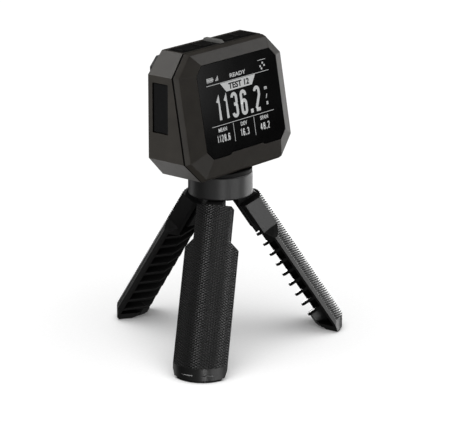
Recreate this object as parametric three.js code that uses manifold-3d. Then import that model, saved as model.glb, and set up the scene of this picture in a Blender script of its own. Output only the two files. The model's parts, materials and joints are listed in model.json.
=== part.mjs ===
// Doppler chronograph on a folding pocket tripod: a wedge-backed display head on a three-legged grip.
// Units are millimetres, +Z is up, the display faces -Y and the origin lies on the floor, at the
// middle of the footprint's box. The tripod's own axis is vertical and stands at y = AXIS_Y.
import * as THREE from 'three';
import { mergeVertices } from 'three/addons/utils/BufferGeometryUtils.js';
import Module from 'manifold-3d';

// ---------------------------------------------------------------- driving dimensions
const GAP = 0.3;                  // clearance between neighbouring pieces
const AXIS_Y = -12.25;            // tripod axis, measured from the middle of the footprint

// Head: an octagonal case, thicker at the bottom than at the top.
const HEAD_Z = 88.3;              // underside of the case above the floor
const HEAD_W = 77.5;
const HEAD_H = 60.4;
const CORNER = 10;                // corner chamfer of the octagon
const WALL = 2.2;
const TOP_WALL = 3;
const REAR_Y = 11.7;              // flat rear face, behind the tripod axis
const SEAM_Y = -12.8;             // bezel seam at the case's bottom edge
const LEAN = Math.atan(0.18);     // backward lean of the display face
const SEAM_GROOVE = 0.9;          // the gasket's groove between bezel and rear case

// Bezel and glass, measured forward of the seam plane.
const BEZEL_SIDE = 2.7;
const BEZEL_DRAFT = 1.25;
const GLASS_TOP = 6.4;
const GLASS_THICK = 1.1;
const GLASS = { half: 29.35, low: 10.05, high: 54.9, corner: 4.3 };
const TAB = { half: 13, flat: 11.5, rise: 0.95 };
const LEDGE = 1.6;

// Radar window on the rear face.
const WINDOW = { half: 32.5, low: 3.6, high: 57, corner: 4.6 };
const WINDOW_H = 5;
const WINDOW_WALL = 1.8;

// Port pocket in the left side and its hinged cover.
const POCKET = { y0: -0.5, y1: 9.1, z0: 22.8, z1: 47, depth: 2.6 };
const COVER_THICK = 1.7;
const COVER_INSET = 0.5;          // the cover lies this deep in the side
const USB = { length: 7.3, thick: 3.2, width: 9 };

// Keypad in the top face.
const KEYPAD = { half: 27.6, y0: -0.6, y1: 9.6, thick: 1.2 };
const BUTTONS = [
  { x: -20.5, width: 9.4 },
  { x: -8.1, width: 7.4 },
  { x: 8.1, width: 7.4 },
  { x: 20.5, width: 9.4 },
];
const BUTTON_Y0 = 1.2;
const BUTTON_Y1 = 8.2;
const BUTTON_PROUD = 0.6;
const BUTTON_EDGE = 0.4;
const BUTTON_TRAVEL = 0.6;
const RIB = { half: 1.3, y0: -1.4, y1: 9.9, height: 1.5 };
const RIB_SLOT = { y0: 0.5, y1: 8.7 };

// Case screws, in the four corners of the rear face.
const CASE_SCREWS = [[-31.5, 12], [31.5, 12], [-31.5, 48.5], [31.5, 48.5]];

// Collar, hub and stud.
const COLLAR_R = 15.65;
const COLLAR_Z0 = 75;
const COLLAR_Z1 = 86.1;
const COLLAR_BORE = 14;
const PAD_R = 15.4;
const HUB_R = 13.55;
const HUB_Z0 = 74.4;
const HUB_Z1 = 83.6;
const STUD_R = 3.1;               // quarter-inch camera thread
const STUD_TOP = 94.4;
const STUD_BORE = 3.6;
const HUB_SCREW_R = 9.5;          // pitch radius of the hub screws

// Legs: three 120 degree sectors of one round grip, each turning on a pin under the collar.
const LEGS = [
  { name: 'left', azimuth: -60 },
  { name: 'right', azimuth: 60 },
  { name: 'rear', azimuth: 180 },
];
const SPREAD = THREE.MathUtils.degToRad(33.5);
const PIVOT_R = 8.5;
const PIVOT_Z = 77;
const PIN_R = 1.25;
const PIN_HALF = 9.8;
const EYE_R = 3.2;                // rounding of the leg's eye about the pin
const EYE_HALF = 4;
const SLOT_HALF = 5.2;
const LEG_R = 16.2;               // the folded legs stand a little proud of the collar
const UPPER_HALF = 8.5;           // half width of the leg's narrow upper part
const UPPER_TOP = -7;             // heights along the leg are measured from the pin
const FLARE_TOP = -24.6;
const FLARE_LOW = -29.2;
const LEG_HALF = 14;              // half width below the flare, wider than the sector
const UPPER_IN = -5;              // the upper part reaches in to here from the pin
const SKIN = 2;
const LIP_R = 13.6;               // along the sector's sides the skin reaches in to this radius
const UPPER_WALL = 1.8;
const LINK_IN = -5;               // inner edge of the hinge link, measured inward from the pin
const LINK_END = -24.3;
const EDGE_ANGLE = THREE.MathUtils.degToRad(53.5);
const SECTOR = THREE.MathUtils.degToRad(60);
const TIP_R = 3.7;                // the first rib reaches in to this distance from the grip's axis
const TIP_STEP = 0.26;            // each further rib reaches in by this much more
const RIB_COUNT = 9;
const RIB_FIRST = -27.4;
const RIB_PITCH = 6.5;
const RIB_THICK = 1.6;
const RIB_SLOPE = 0.45;           // rise of a rib across the leg, as a tangent
const LEG_BOTTOM = -104;
const RIDGE = -88.2;              // the sloping skin ends here and the upright toe begins
const TOE_Z = 1.2;                // underside of the leg above the floor
const TOE_THICK = 2.2;
const TOE_TIP_R = 2.9;
const HEEL_HALF = 2.2;            // the heel's web joins the last rib to the toe
const HEEL_Y = -6;
const FOOT_THICK = 0.9;
const FOOT_PEG_Y = 47;            // the foot's peg stands this far out from the pin, measured level

// ---------------------------------------------------------------- materials
const finish = (color, roughness, metalness = 0) => ({ color, roughness, metalness });
const FINISH = {
  housing: finish(0x4a4641, 0.62),
  bezel: finish(0x4b4742, 0.6),
  black: finish(0x1c1c1c, 0.7),
  rubber: finish(0x161616, 0.9),
  glass: finish(0x08090a, 0.08),
  display: finish(0x202428, 0.35),
  radome: finish(0x222120, 0.55),
  board: finish(0x1d4a2c, 0.5),
  foil: finish(0xb8bcc0, 0.35, 0.8),
  cell: finish(0x2c3a58, 0.5),
  steel: finish(0x8c8f92, 0.35, 1),
  brass: finish(0xb08d4a, 0.35, 1),
  rib: finish(0xa5a5a0, 0.5),
  collar: finish(0x3b3b3b, 0.55),
  leg: finish(0x202020, 0.75),
};

// ---------------------------------------------------------------- solids
const wasm = await Module();
wasm.setup();

function toSolid(geometry) {
  const bare = geometry.clone();
  bare.deleteAttribute('normal');
  bare.deleteAttribute('uv');
  const merged = mergeVertices(bare, 1e-4);
  const vertProperties = new Float32Array(merged.attributes.position.array);
  const triVerts = new Uint32Array(merged.index.array);
  return new wasm.Manifold(new wasm.Mesh({ numProp: 3, vertProperties, triVerts }));
}

function toGeometry(solid) {
  const { vertProperties, triVerts } = solid.getMesh();
  const geometry = new THREE.BufferGeometry();
  geometry.setAttribute('position', new THREE.BufferAttribute(new Float32Array(vertProperties), 3));
  geometry.setIndex(new THREE.BufferAttribute(new Uint32Array(triVerts), 1));
  geometry.computeVertexNormals();
  return geometry;
}

const join = (...shapes) => toGeometry(shapes.map(toSolid).reduce((a, b) => a.add(b)));
const cut = (shape, ...tools) => {
  const rest = tools.map(toSolid).reduce((a, b) => a.subtract(b), toSolid(shape));
  return toGeometry(rest);
};
const common = (...shapes) => toGeometry(shapes.map(toSolid).reduce((a, b) => a.intersect(b)));

function box(x0, x1, y0, y1, z0, z1) {
  return new THREE.BoxGeometry(x1 - x0, y1 - y0, z1 - z0)
    .translate((x0 + x1) / 2, (y0 + y1) / 2, (z0 + z1) / 2);
}

function rod(radius, z0, z1, sides = 16) {
  return new THREE.CylinderGeometry(radius, radius, z1 - z0, sides)
    .rotateX(Math.PI / 2)
    .translate(0, 0, (z0 + z1) / 2);
}

function lathe(profile, sides = 48) {
  const points = [...profile, profile[0]].map(([r, z]) => new THREE.Vector2(r, z));
  return new THREE.LatheGeometry(points, sides).rotateX(Math.PI / 2);
}

// A prism with its outline in X and Y, from z0 up to z1.
function prism(outline, z0, z1) {
  const shape = new THREE.Shape(outline.map(([x, y]) => new THREE.Vector2(x, y)));
  return new THREE.ExtrudeGeometry(shape, { depth: z1 - z0, bevelEnabled: false }).translate(0, 0, z0);
}

// A prism with its outline in X and Z, from y0 back to y1.
function prismAlongY(outline, y0, y1) {
  return prism(outline.map(([x, z]) => [x, -z]), y0, y1).rotateX(-Math.PI / 2);
}

// A prism with its outline in Y and Z, from -half to +half in X.
function prismAlongX(outline, half) {
  return prism(outline, -half, half).rotateY(Math.PI / 2).rotateX(Math.PI / 2);
}

// A skin through rings of equally many points, closed by a cap at each end or, as a band, on itself.
function loft(rings, band = false) {
  const count = rings[0].length;
  const positions = rings.flat(2);
  const index = [];
  const last = band ? rings.length : rings.length - 1;
  for (let i = 0; i < last; i += 1) {
    const next = (i + 1) % rings.length;
    for (let j = 0; j < count; j += 1) {
      const k = (j + 1) % count;
      const [a, b, c, d] = [i * count + j, i * count + k, next * count + k, next * count + j];
      index.push(a, b, c, a, c, d);
    }
  }
  if (!band) {
    const flat = (ring) => ring.map((point) => new THREE.Vector2(point[0], point[1]));
    const top = (rings.length - 1) * count;
    for (const [a, b, c] of THREE.ShapeUtils.triangulateShape(flat(rings[0]), [])) index.push(c, b, a);
    for (const [a, b, c] of THREE.ShapeUtils.triangulateShape(flat(rings.at(-1)), [])) {
      index.push(top + a, top + b, top + c);
    }
  }
  const geometry = new THREE.BufferGeometry();
  geometry.setAttribute('position', new THREE.Float32BufferAttribute(positions, 3));
  geometry.setIndex(index);
  geometry.computeVertexNormals();
  return geometry;
}

// ---------------------------------------------------------------- outlines
// An octagon that stands on its low edge, counter-clockwise from that edge's left end. The two
// points in the middle of the low edge can rise, to leave room for the bezel's tab.
function octagon({ half, low, high, corner }, inset = 0, rise = 0) {
  const h = half - inset;
  const a = low + inset;
  const b = high - inset;
  const c = corner - inset * (2 - Math.SQRT2);
  return [
    [-h + c, a], [-TAB.half, a], [-TAB.flat, a + rise], [TAB.flat, a + rise], [TAB.half, a],
    [h - c, a], [h, a + c], [h, b - c], [h - c, b], [-h + c, b], [-h, b - c], [-h, a + c],
  ];
}

const lift = (outline, height) => outline.map(([x, y]) => [x, y, height]);
const CASE = { half: HEAD_W / 2, low: 0, high: HEAD_H, corner: CORNER };
const FACE = { ...CASE, high: HEAD_H / Math.cos(LEAN) };

// A point of the grip's section, in the leg's frame: the grip's axis lies at y = -PIVOT_R.
const polar = (radius, angle) => [radius * Math.sin(angle), radius * Math.cos(angle) - PIVOT_R];

function arc(radius, from, to, steps) {
  const angles = Array.from({ length: steps + 1 }, (_, i) => from + ((to - from) * i) / steps);
  return angles.map((angle) => polar(radius, angle));
}

// A point at a radius along one side plane of the leg's sector, moved in from it by an inset.
function sidePoint(side, radius, inset) {
  const x = radius * Math.sin(SECTOR) - inset * Math.cos(SECTOR);
  const y = radius * Math.cos(SECTOR) + inset * Math.sin(SECTOR);
  return [side * x, y - PIVOT_R];
}

// ---------------------------------------------------------------- frames
const part = new THREE.Group();
const tripod = new THREE.Group();
tripod.position.set(0, AXIS_Y, 0);
const head = new THREE.Group();
head.position.set(0, AXIS_Y, HEAD_Z);
// The face frame lies in the seam plane: X to the right, Y up the display, Z out of it.
const face = new THREE.Group();
face.position.set(0, AXIS_Y + SEAM_Y, HEAD_Z);
face.rotation.x = Math.PI / 2 - LEAN;
part.add(tripod, head, face);

function addMesh(group, name, geometry, look) {
  const mesh = new THREE.Mesh(geometry, new THREE.MeshStandardMaterial(look));
  mesh.name = name;
  group.add(mesh);
}

// Everything in front of a plane parallel to the seam, in the head's frame.
function inFrontOf(distance) {
  return box(-60, 60, -20, 90, distance, distance + 60)
    .rotateX(Math.PI / 2 - LEAN)
    .translate(0, SEAM_Y, 0);
}

const seamY = (z) => SEAM_Y + z * Math.tan(LEAN);

// ---------------------------------------------------------------- display side
function frontBezel() {
  const glass = (inset) => octagon(GLASS, inset, TAB.rise);
  const ring = loft([
    lift(octagon(FACE, 0), 0),
    lift(octagon(FACE, BEZEL_DRAFT), BEZEL_SIDE),
    lift(glass(0), GLASS_TOP),
    lift(glass(0), GLASS_TOP - GLASS_THICK - GAP),
    lift(glass(LEDGE), GLASS_TOP - GLASS_THICK - GAP),
    lift(glass(LEDGE), GLASS_TOP - GLASS_THICK - GAP - LEDGE),
    lift(octagon(FACE, BEZEL_DRAFT + WALL), BEZEL_SIDE - LEDGE),
    lift(octagon(FACE, WALL), 0),
  ], true);
  const posts = CASE_SCREWS.map(([x, z]) => rod(2.5, 0, 3.2, 14).translate(x, z / Math.cos(LEAN), 0));
  const holes = CASE_SCREWS.map(([x, z]) => screwBore(x, z, 1.3, -3).applyMatrix4(headToFace()));
  return cut(join(ring, ...posts), ...holes);
}

function headToFace() {
  face.updateMatrix();
  head.updateMatrix();
  return face.matrix.clone().invert().multiply(head.matrix);
}

function displayGlass() {
  return prism(octagon(GLASS, GAP, TAB.rise), GLASS_TOP - GLASS_THICK, GLASS_TOP - 0.1);
}

function displayPanel() {
  const outline = octagon({ half: 26.8, low: 13, high: 52.3, corner: 3.6 });
  return prism(outline, 2.2, GLASS_TOP - GLASS_THICK - GAP);
}

function seamGasket() {
  return loft([
    lift(octagon(FACE, 0.6), -SEAM_GROOVE + GAP),
    lift(octagon(FACE, 0.6), -GAP),
    lift(octagon(FACE, WALL), -GAP),
    lift(octagon(FACE, WALL), -SEAM_GROOVE + GAP),
  ], true);
}

// ---------------------------------------------------------------- rear case
// Lays a shape made along Z down along Y, at a place in X and Z.
const alongY = (geometry, x, z) => geometry.rotateX(-Math.PI / 2).translate(x, 0, z);

// A bore along Y for a case screw, from the rear face forward to an end behind or past the seam.
function screwBore(x, z, radius, pastSeam) {
  const end = seamY(z) + pastSeam;
  return alongY(rod(radius, end, REAR_Y + 1, 12), x, z);
}

function rearHousing() {
  const outer = prismAlongY(octagon(CASE), SEAM_Y - 4, REAR_Y);
  const cavity = { half: CASE.half - WALL, low: WALL, high: HEAD_H - TOP_WALL, corner: CORNER - 1.3 };
  const inner = prismAlongY(octagon(cavity), SEAM_Y - 10, REAR_Y - 2);
  const shell = cut(outer, inner);
  const x0 = -HEAD_W / 2;
  const bosses = [
    rod(7, 0.5, 9.4, 20),
    box(x0 + 1, x0 + POCKET.depth + 1.7, -2.2, REAR_Y - 1, POCKET.z0 - 1.6, POCKET.z1 + 1.6),
    ...CASE_SCREWS.map(([x, z]) => screwBore(x, z, 2.8, 0.2).translate(0, -2, 0)),
  ];
  const cuts = [
    inFrontOf(-SEAM_GROOVE),
    rod(5.1, -1, 8.1, 20),
    box(x0 - 1, x0 + POCKET.depth, POCKET.y0, POCKET.y1, POCKET.z0, POCKET.z1),
    usbSlot(),
    box(-26, 26, REAR_Y - 4, REAR_Y + 1, 12, 44),
    box(-KEYPAD.half, KEYPAD.half, KEYPAD.y0, KEYPAD.y1, HEAD_H - KEYPAD.thick - GAP, HEAD_H + 1),
    ...BUTTONS.map(({ x }) => box(x - 2.5, x + 2.5, 3, 6.4, HEAD_H - TOP_WALL - 1, HEAD_H)),
    ...CASE_SCREWS.map(([x, z]) => screwBore(x, z, 1.3, -4)),
    ...CASE_SCREWS.map(([x, z]) => alongY(rod(2.3, REAR_Y - 1.6, REAR_Y + 1, 14), x, z)),
  ];
  return cut(join(shell, ...bosses), ...cuts);
}

const POCKET_MID_Y = (POCKET.y0 + POCKET.y1) / 2;
const POCKET_MID_Z = (POCKET.z0 + POCKET.z1) / 2;

// A slab centred on the port, of a given height and thickness, between two places in X.
function portSlab(x0, x1, width, thick) {
  return box(x0, x1, POCKET_MID_Y - thick / 2, POCKET_MID_Y + thick / 2,
    POCKET_MID_Z - width / 2, POCKET_MID_Z + width / 2);
}

const usbSlot = () => portSlab(-HEAD_W / 2, -HEAD_W / 2 + 8, USB.width + 2 * GAP, USB.thick + 2 * GAP);

function usbSocket() {
  const mouth = -HEAD_W / 2 + POCKET.depth + GAP;
  const shell = portSlab(mouth, mouth + USB.length, USB.width, USB.thick);
  const throat = portSlab(mouth - 1, mouth + 5.8, USB.width - 0.7, USB.thick - 0.7);
  const tongue = portSlab(mouth + 1.4, mouth + 6.4, USB.width - 2.4, 0.7);
  return join(cut(shell, throat), tongue);
}

function portCover() {
  const x0 = -HEAD_W / 2 + COVER_INSET;
  return box(x0, x0 + COVER_THICK, POCKET.y0 + GAP, POCKET.y1 - GAP, POCKET.z0 + GAP, POCKET.z1 - GAP);
}

function radarWindow() {
  const y = REAR_Y + GAP;
  const ring = (inset, depth) => octagon(WINDOW, inset).map(([x, z]) => [x, -z, y + depth]);
  const rings = [ring(1.4, WINDOW_H), ring(0.2, WINDOW_H - 0.8), ring(0, 0)];
  rings.push(ring(WINDOW_WALL, 0), ring(WINDOW_WALL + 0.6, WINDOW_H - WINDOW_WALL));
  return loft(rings.map((points) => points.reverse()).reverse()).rotateX(-Math.PI / 2);
}

// A box about the head's middle, placed in depth from the rear case's flat face.
const behindRear = (half, near, far, z0, z1) => box(-half, half, REAR_Y + near, REAR_Y + far, z0, z1);

function caseScrew([x, z]) {
  const headRod = rod(1.9, REAR_Y - 1.3, REAR_Y - 0.2, 14);
  const shank = rod(1, seamY(z) - 2.5, REAR_Y - 1, 12);
  const socket = rod(0.9, REAR_Y - 0.8, REAR_Y + 1, 6);
  return alongY(cut(join(headRod, shank), socket), x, z);
}

// ---------------------------------------------------------------- keypad
function keypadPanel() {
  const z0 = HEAD_H - KEYPAD.thick;
  const plate = box(-KEYPAD.half + GAP, KEYPAD.half - GAP, KEYPAD.y0 + GAP, KEYPAD.y1 - GAP, z0, HEAD_H);
  const windows = BUTTONS.map(({ x, width }) => box(x - width / 2 - GAP, x + width / 2 + GAP,
    BUTTON_Y0 - GAP, BUTTON_Y1 + GAP, z0 - 1, HEAD_H + 1));
  const slot = box(-RIB.half - GAP, RIB.half + GAP, RIB_SLOT.y0, RIB_SLOT.y1, z0 - 1, HEAD_H + 1);
  return cut(plate, ...windows, slot);
}

function button({ x, width }) {
  const low = HEAD_H - KEYPAD.thick - GAP + BUTTON_TRAVEL + GAP;
  const half = width / 2;
  const top = HEAD_H + BUTTON_PROUD;
  const profile = [
    [-half, low], [half, low], [half, top - BUTTON_EDGE], [half - BUTTON_EDGE, top],
    [-half + BUTTON_EDGE, top], [-half, top - BUTTON_EDGE],
  ];
  const cap = prismAlongY(profile, BUTTON_Y0, BUTTON_Y1);
  const stem = box(-2, 2, 3.5, 5.9, HEAD_H - TOP_WALL - 0.5, low + 0.2);
  return join(cap, stem).translate(x, 0, 0);
}

function sightingRib() {
  const low = HEAD_H + GAP;
  const high = HEAD_H + RIB.height;
  const side = [[RIB.y0, low], [RIB.y1, low], [RIB.y1 - 0.8, high], [RIB.y0 + 1.6, high]];
  const blade = prismAlongX(side, RIB.half);
  const root = box(-RIB.half, RIB.half, RIB_SLOT.y0 + GAP, RIB_SLOT.y1 - GAP,
    HEAD_H - KEYPAD.thick, low + 0.1);
  return join(blade, root);
}

const SWITCH_TOP = HEAD_H - TOP_WALL - 0.5 - BUTTON_TRAVEL - GAP;
const domeSwitch = ({ x }) => box(x - 2.2, x + 2.2, 2.5, 6.9, SWITCH_TOP - 1, SWITCH_TOP);
const switchBoard = () => box(-25, 25, 0.8, 8, SWITCH_TOP - 2.5, SWITCH_TOP - 1 - GAP);

// ---------------------------------------------------------------- collar and hub
const spin = (geometry, degrees) => geometry.rotateZ(THREE.MathUtils.degToRad(degrees));

function collar() {
  const cup = lathe([
    [COLLAR_BORE, COLLAR_Z0], [14.9, COLLAR_Z0], [15.45, 75.5], [COLLAR_R, 76.2],
    [COLLAR_R, COLLAR_Z1 - 0.5], [COLLAR_R - 0.5, COLLAR_Z1], [STUD_BORE, COLLAR_Z1],
    [STUD_BORE, HUB_Z1 + GAP], [COLLAR_BORE, HUB_Z1 + GAP],
  ]);
  const holes = [0, 120, 240].flatMap((angle) => [
    spin(rod(1.5, 80, 90, 12).translate(0, -HUB_SCREW_R, 0), angle),
    spin(rod(2.5, 84.9, 90, 16).translate(0, -HUB_SCREW_R, 0), angle),
  ]);
  return cut(cup, ...holes);
}

function topPad() {
  const z0 = COLLAR_Z1 + GAP;
  const z1 = HEAD_Z - GAP;
  return lathe([[STUD_BORE, z0], [PAD_R, z0], [PAD_R, z1], [STUD_BORE, z1]], 40);
}

function hub() {
  const body = rod(HUB_R, HUB_Z0, HUB_Z1, 48);
  const reach = PIVOT_R - EYE_R - 0.5;
  const turns = LEGS.map(({ azimuth }) => 180 + azimuth);
  const slots = turns.map((turn) => spin(box(-SLOT_HALF, SLOT_HALF, reach, 20, 60, 80.9), turn));
  const bores = turns.map((turn) => spin(pinRod(PIN_R + 0.35, 14), turn));
  const screw = rod(1.45, 77.5, 90, 12).translate(0, -HUB_SCREW_R, 0);
  const screws = [0, 120, 240].map((angle) => spin(screw.clone(), angle));
  return cut(body, ...slots, ...bores, ...screws, rod(5.9, 81.6, 90, 24));
}

// A rod along X, through the pin's place in a leg whose outward direction is +Y.
function pinRod(radius, half) {
  return rod(radius, -half, half, 12).rotateY(Math.PI / 2).translate(0, PIVOT_R, PIVOT_Z);
}

function mountingStud() {
  return join(rod(5.4, 81.9, 83.4, 6), rod(STUD_R, 82.5, STUD_TOP, 24));
}

function hubScrew() {
  const body = join(rod(2.1, 85.2, 86, 14), rod(1.15, 78, 85.4, 12));
  return cut(body, rod(1, 85.6, 87, 6)).translate(0, -HUB_SCREW_R, 0);
}

function pivotWasher(side) {
  const ring = cut(rod(3, 0, 0.6, 20), rod(PIN_R + 0.35, -1, 2, 12));
  const x = side > 0 ? EYE_HALF + GAP : -EYE_HALF - GAP - 0.6;
  return ring.rotateY(Math.PI / 2).translate(x, PIVOT_R, PIVOT_Z);
}

// ---------------------------------------------------------------- legs
// The leg's frame has its origin on the pin, +Y outward and +Z up the leg as it stands folded.
const SIDE_GAP = 0.35;

// The leg's sector between a radius and a flat tip at a distance from the grip's axis.
function wedgeOutline(radius, tipRadius = TIP_R, inset = SIDE_GAP) {
  const tip = (tipRadius - inset * Math.sin(SECTOR)) / Math.cos(SECTOR);
  return [
    ...arc(radius, -EDGE_ANGLE, EDGE_ANGLE, 10),
    sidePoint(1, radius - 1, inset), sidePoint(1, tip, inset),
    sidePoint(-1, tip, inset), sidePoint(-1, radius - 1, inset),
  ];
}

function skinOutline() {
  return [
    ...arc(LEG_R, -EDGE_ANGLE, EDGE_ANGLE, 14),
    sidePoint(1, LEG_R - 1, SIDE_GAP), sidePoint(1, LIP_R, SIDE_GAP),
    ...arc(LEG_R - SKIN, EDGE_ANGLE, -EDGE_ANGLE, 12),
    sidePoint(-1, LIP_R, SIDE_GAP), sidePoint(-1, LEG_R - 1, SIDE_GAP),
  ];
}

// The space behind the upright toe: the ridge's curve swept straight down with the leg spread.
function toeLimit() {
  const front = arc(LEG_R, -SECTOR, SECTOR, 14).map(([x, y]) => {
    const depth = LEG_R - PIVOT_R - y;
    return [x, LEG_R - PIVOT_R - depth / Math.cos(SPREAD) ** 2];
  });
  const edge = front.at(-1);
  const outline = [[-edge[0], -60], ...front, [edge[0], -60]];
  const shear = new THREE.Matrix4().makeShear(0, 0, 0, 0, 0, Math.tan(SPREAD));
  return prism(outline, -60, 110).applyMatrix4(shear).translate(0, 0, RIDGE);
}

// A level slab under the spread leg, between two heights above the floor.
function floorSlab(low, high) {
  return box(-40, 40, -60, 120, low - PIVOT_Z, high - PIVOT_Z).rotateX(-SPREAD);
}

function legShell() {
  const outer = LEG_R - PIVOT_R;
  const skin = prism(skinOutline(), LEG_BOTTOM, FLARE_TOP + 1);
  const ribs = Array.from({ length: RIB_COUNT }, (_, i) => legRib(i));
  const toe = common(
    prism(wedgeOutline(LEG_R - 0.8, TOE_TIP_R), LEG_BOTTOM, RIDGE + 14),
    floorSlab(TOE_Z, TOE_Z + TOE_THICK),
  );
  const lastRib = RIB_FIRST - (RIB_COUNT - 1) * RIB_PITCH;
  const heel = box(-HEEL_HALF, HEEL_HALF, HEEL_Y, outer - 1, LEG_BOTTOM, lastRib);
  const silhouette = prismAlongY([
    [-UPPER_HALF, 10], [-UPPER_HALF, FLARE_TOP], [-LEG_HALF, FLARE_LOW], [-LEG_HALF, LEG_BOTTOM],
    [LEG_HALF, LEG_BOTTOM], [LEG_HALF, FLARE_LOW], [UPPER_HALF, FLARE_TOP], [UPPER_HALF, 10],
  ], -30, 30);
  const whole = join(skin, ...ribs, toe, heel, upperBlock());
  const body = common(whole, silhouette, toeLimit(), floorSlab(TOE_Z, 120));
  const toeLow = TOE_Z - PIVOT_Z;
  const peg = rod(1.8, toeLow - 1, toeLow + TOE_THICK + 1, 12).translate(0, FOOT_PEG_Y, 0).rotateX(-SPREAD);
  const pin = rod(PIN_R + 0.35, -10, 10, 12).rotateY(Math.PI / 2);
  return cut(join(body, hingeLink()), pin, peg);
}

// The boxed upper part, which flares into the skin at its lower end and is open towards the inside.
function upperBlock() {
  const outer = LEG_R - PIVOT_R;
  const profile = [
    [outer + 1, UPPER_TOP - 1.3], [UPPER_IN, UPPER_TOP + 0.2], [UPPER_IN, FLARE_LOW], [outer + 1, FLARE_LOW],
  ];
  const solid = common(prism(wedgeOutline(LEG_R), FLARE_LOW, 0), prismAlongX(profile, LEG_HALF));
  const inside = UPPER_HALF - UPPER_WALL;
  return cut(solid, box(-inside, inside, -20, outer - SKIN - 1, FLARE_LOW - 1, UPPER_TOP - UPPER_WALL));
}

// An inclined stiffening rib across the hollow leg.
function legRib(i) {
  const middle = RIB_FIRST - i * RIB_PITCH;
  const outline = wedgeOutline(LEG_R - 0.8, TIP_R - i * TIP_STEP, SIDE_GAP + GAP);
  const slope = new THREE.Matrix4().makeShear(0, RIB_SLOPE, 0, 0, 0, 0);
  return prism(outline, middle - RIB_THICK / 2, middle + RIB_THICK / 2).applyMatrix4(slope);
}

// The eye about the pin and the web that carries it, down the middle of the leg's upper part.
function hingeLink() {
  const round = Array.from({ length: 11 }, (_, i) => {
    const angle = (Math.PI * i) / 10;
    return [EYE_R * Math.cos(angle), EYE_R * Math.sin(angle)];
  });
  const outline = [
    ...round, [-EYE_R, -3.4], [LINK_IN, -6.4], [LINK_IN, LINK_END + 1.6], [LINK_IN + 0.5, LINK_END + 0.5],
    [LINK_IN + 1.6, LINK_END], [5.5, LINK_END], [6.2, UPPER_TOP - 3], [5.9, -7], [5, -6], [2.7, -5],
  ];
  return prismAlongX(outline, EYE_HALF);
}

function footPad() {
  const outline = prism(wedgeOutline(LEG_R - 0.5), -120, 20);
  const shrink = new THREE.Matrix4().makeScale(0.86, 0.86, 1);
  const pad = common(outline.applyMatrix4(shrink).translate(0, -0.4, 0), toeLimit().translate(0, -1.2, 0),
    floorSlab(0, FOOT_THICK));
  const peg = rod(1.45, -PIVOT_Z + 0.3, TOE_Z - PIVOT_Z + TOE_THICK - 0.4, 12);
  return join(pad, peg.translate(0, FOOT_PEG_Y, 0).rotateX(-SPREAD));
}

// ---------------------------------------------------------------- assembly
addMesh(face, 'front_bezel', frontBezel(), FINISH.bezel);
addMesh(face, 'display_glass', displayGlass(), FINISH.glass);
addMesh(face, 'display_panel', displayPanel(), FINISH.display);
addMesh(face, 'seam_gasket', seamGasket(), FINISH.black);

addMesh(head, 'rear_housing', rearHousing(), FINISH.housing);
addMesh(head, 'radar_window', radarWindow(), FINISH.radome);
addMesh(head, 'radar_board', behindRear(26.5, 0.6, 1.8, 8, 52), FINISH.board);
addMesh(head, 'antenna_plate', behindRear(20, 2.1, 2.6, 13, 47), FINISH.brass);
addMesh(head, 'radar_shield', behindRear(10, -2.6, 0.3, 20, 36), FINISH.foil);
addMesh(head, 'main_board', box(-33, 28, 1, 2.2, 17, 44.5), FINISH.board);
addMesh(head, 'battery', box(-17, 17, -7, -0.7, 12, 36), FINISH.cell);
addMesh(head, 'usb_socket', usbSocket(), FINISH.steel);
addMesh(head, 'port_cover', portCover(), FINISH.rubber);
addMesh(head, 'thread_insert', cut(rod(4.7, 0.2, 7.7, 20), rod(3.5, -1, 9, 24)), FINISH.brass);
CASE_SCREWS.forEach((place, i) => addMesh(head, `case_screw_${i + 1}`, caseScrew(place), FINISH.steel));

addMesh(head, 'keypad_panel', keypadPanel(), FINISH.black);
addMesh(head, 'sighting_rib', sightingRib(), FINISH.rib);
addMesh(head, 'switch_board', switchBoard(), FINISH.board);
BUTTONS.forEach((place, i) => {
  addMesh(head, `button_${i + 1}`, button(place), FINISH.rubber);
  addMesh(head, `dome_switch_${i + 1}`, domeSwitch(place), FINISH.steel);
});

addMesh(tripod, 'collar', collar(), FINISH.collar);
addMesh(tripod, 'top_pad', topPad(), FINISH.rubber);
addMesh(tripod, 'hub', hub(), FINISH.black);
addMesh(tripod, 'mounting_stud', mountingStud(), FINISH.steel);
[0, 120, 240].forEach((angle, i) => {
  addMesh(tripod, `hub_screw_${i + 1}`, spin(hubScrew(), angle), FINISH.steel);
});

for (const { name, azimuth } of LEGS) {
  const sector = new THREE.Group();
  sector.rotation.z = THREE.MathUtils.degToRad(180 + azimuth);
  tripod.add(sector);
  addMesh(sector, `${name}_pivot_pin`, pinRod(PIN_R, PIN_HALF), FINISH.steel);
  addMesh(sector, `${name}_washer_a`, pivotWasher(-1), FINISH.steel);
  addMesh(sector, `${name}_washer_b`, pivotWasher(1), FINISH.steel);
  const leg = new THREE.Group();
  leg.position.set(0, PIVOT_R, PIVOT_Z);
  leg.rotation.x = SPREAD;
  sector.add(leg);
  addMesh(leg, `${name}_leg`, legShell(), FINISH.leg);
  addMesh(leg, `${name}_foot_pad`, footPad(), FINISH.rubber);
}

export default part;
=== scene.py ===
"""Looks of a pocket Doppler chronograph on a folding table tripod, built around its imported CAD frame.

Shapes are made in millimetres, in the frame of the head, of the display's face or of a leg, and each
finished piece is scaled to metres once, by place().
"""

import json
import math

import bmesh
import bpy
from mathutils import Matrix, Vector

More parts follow.
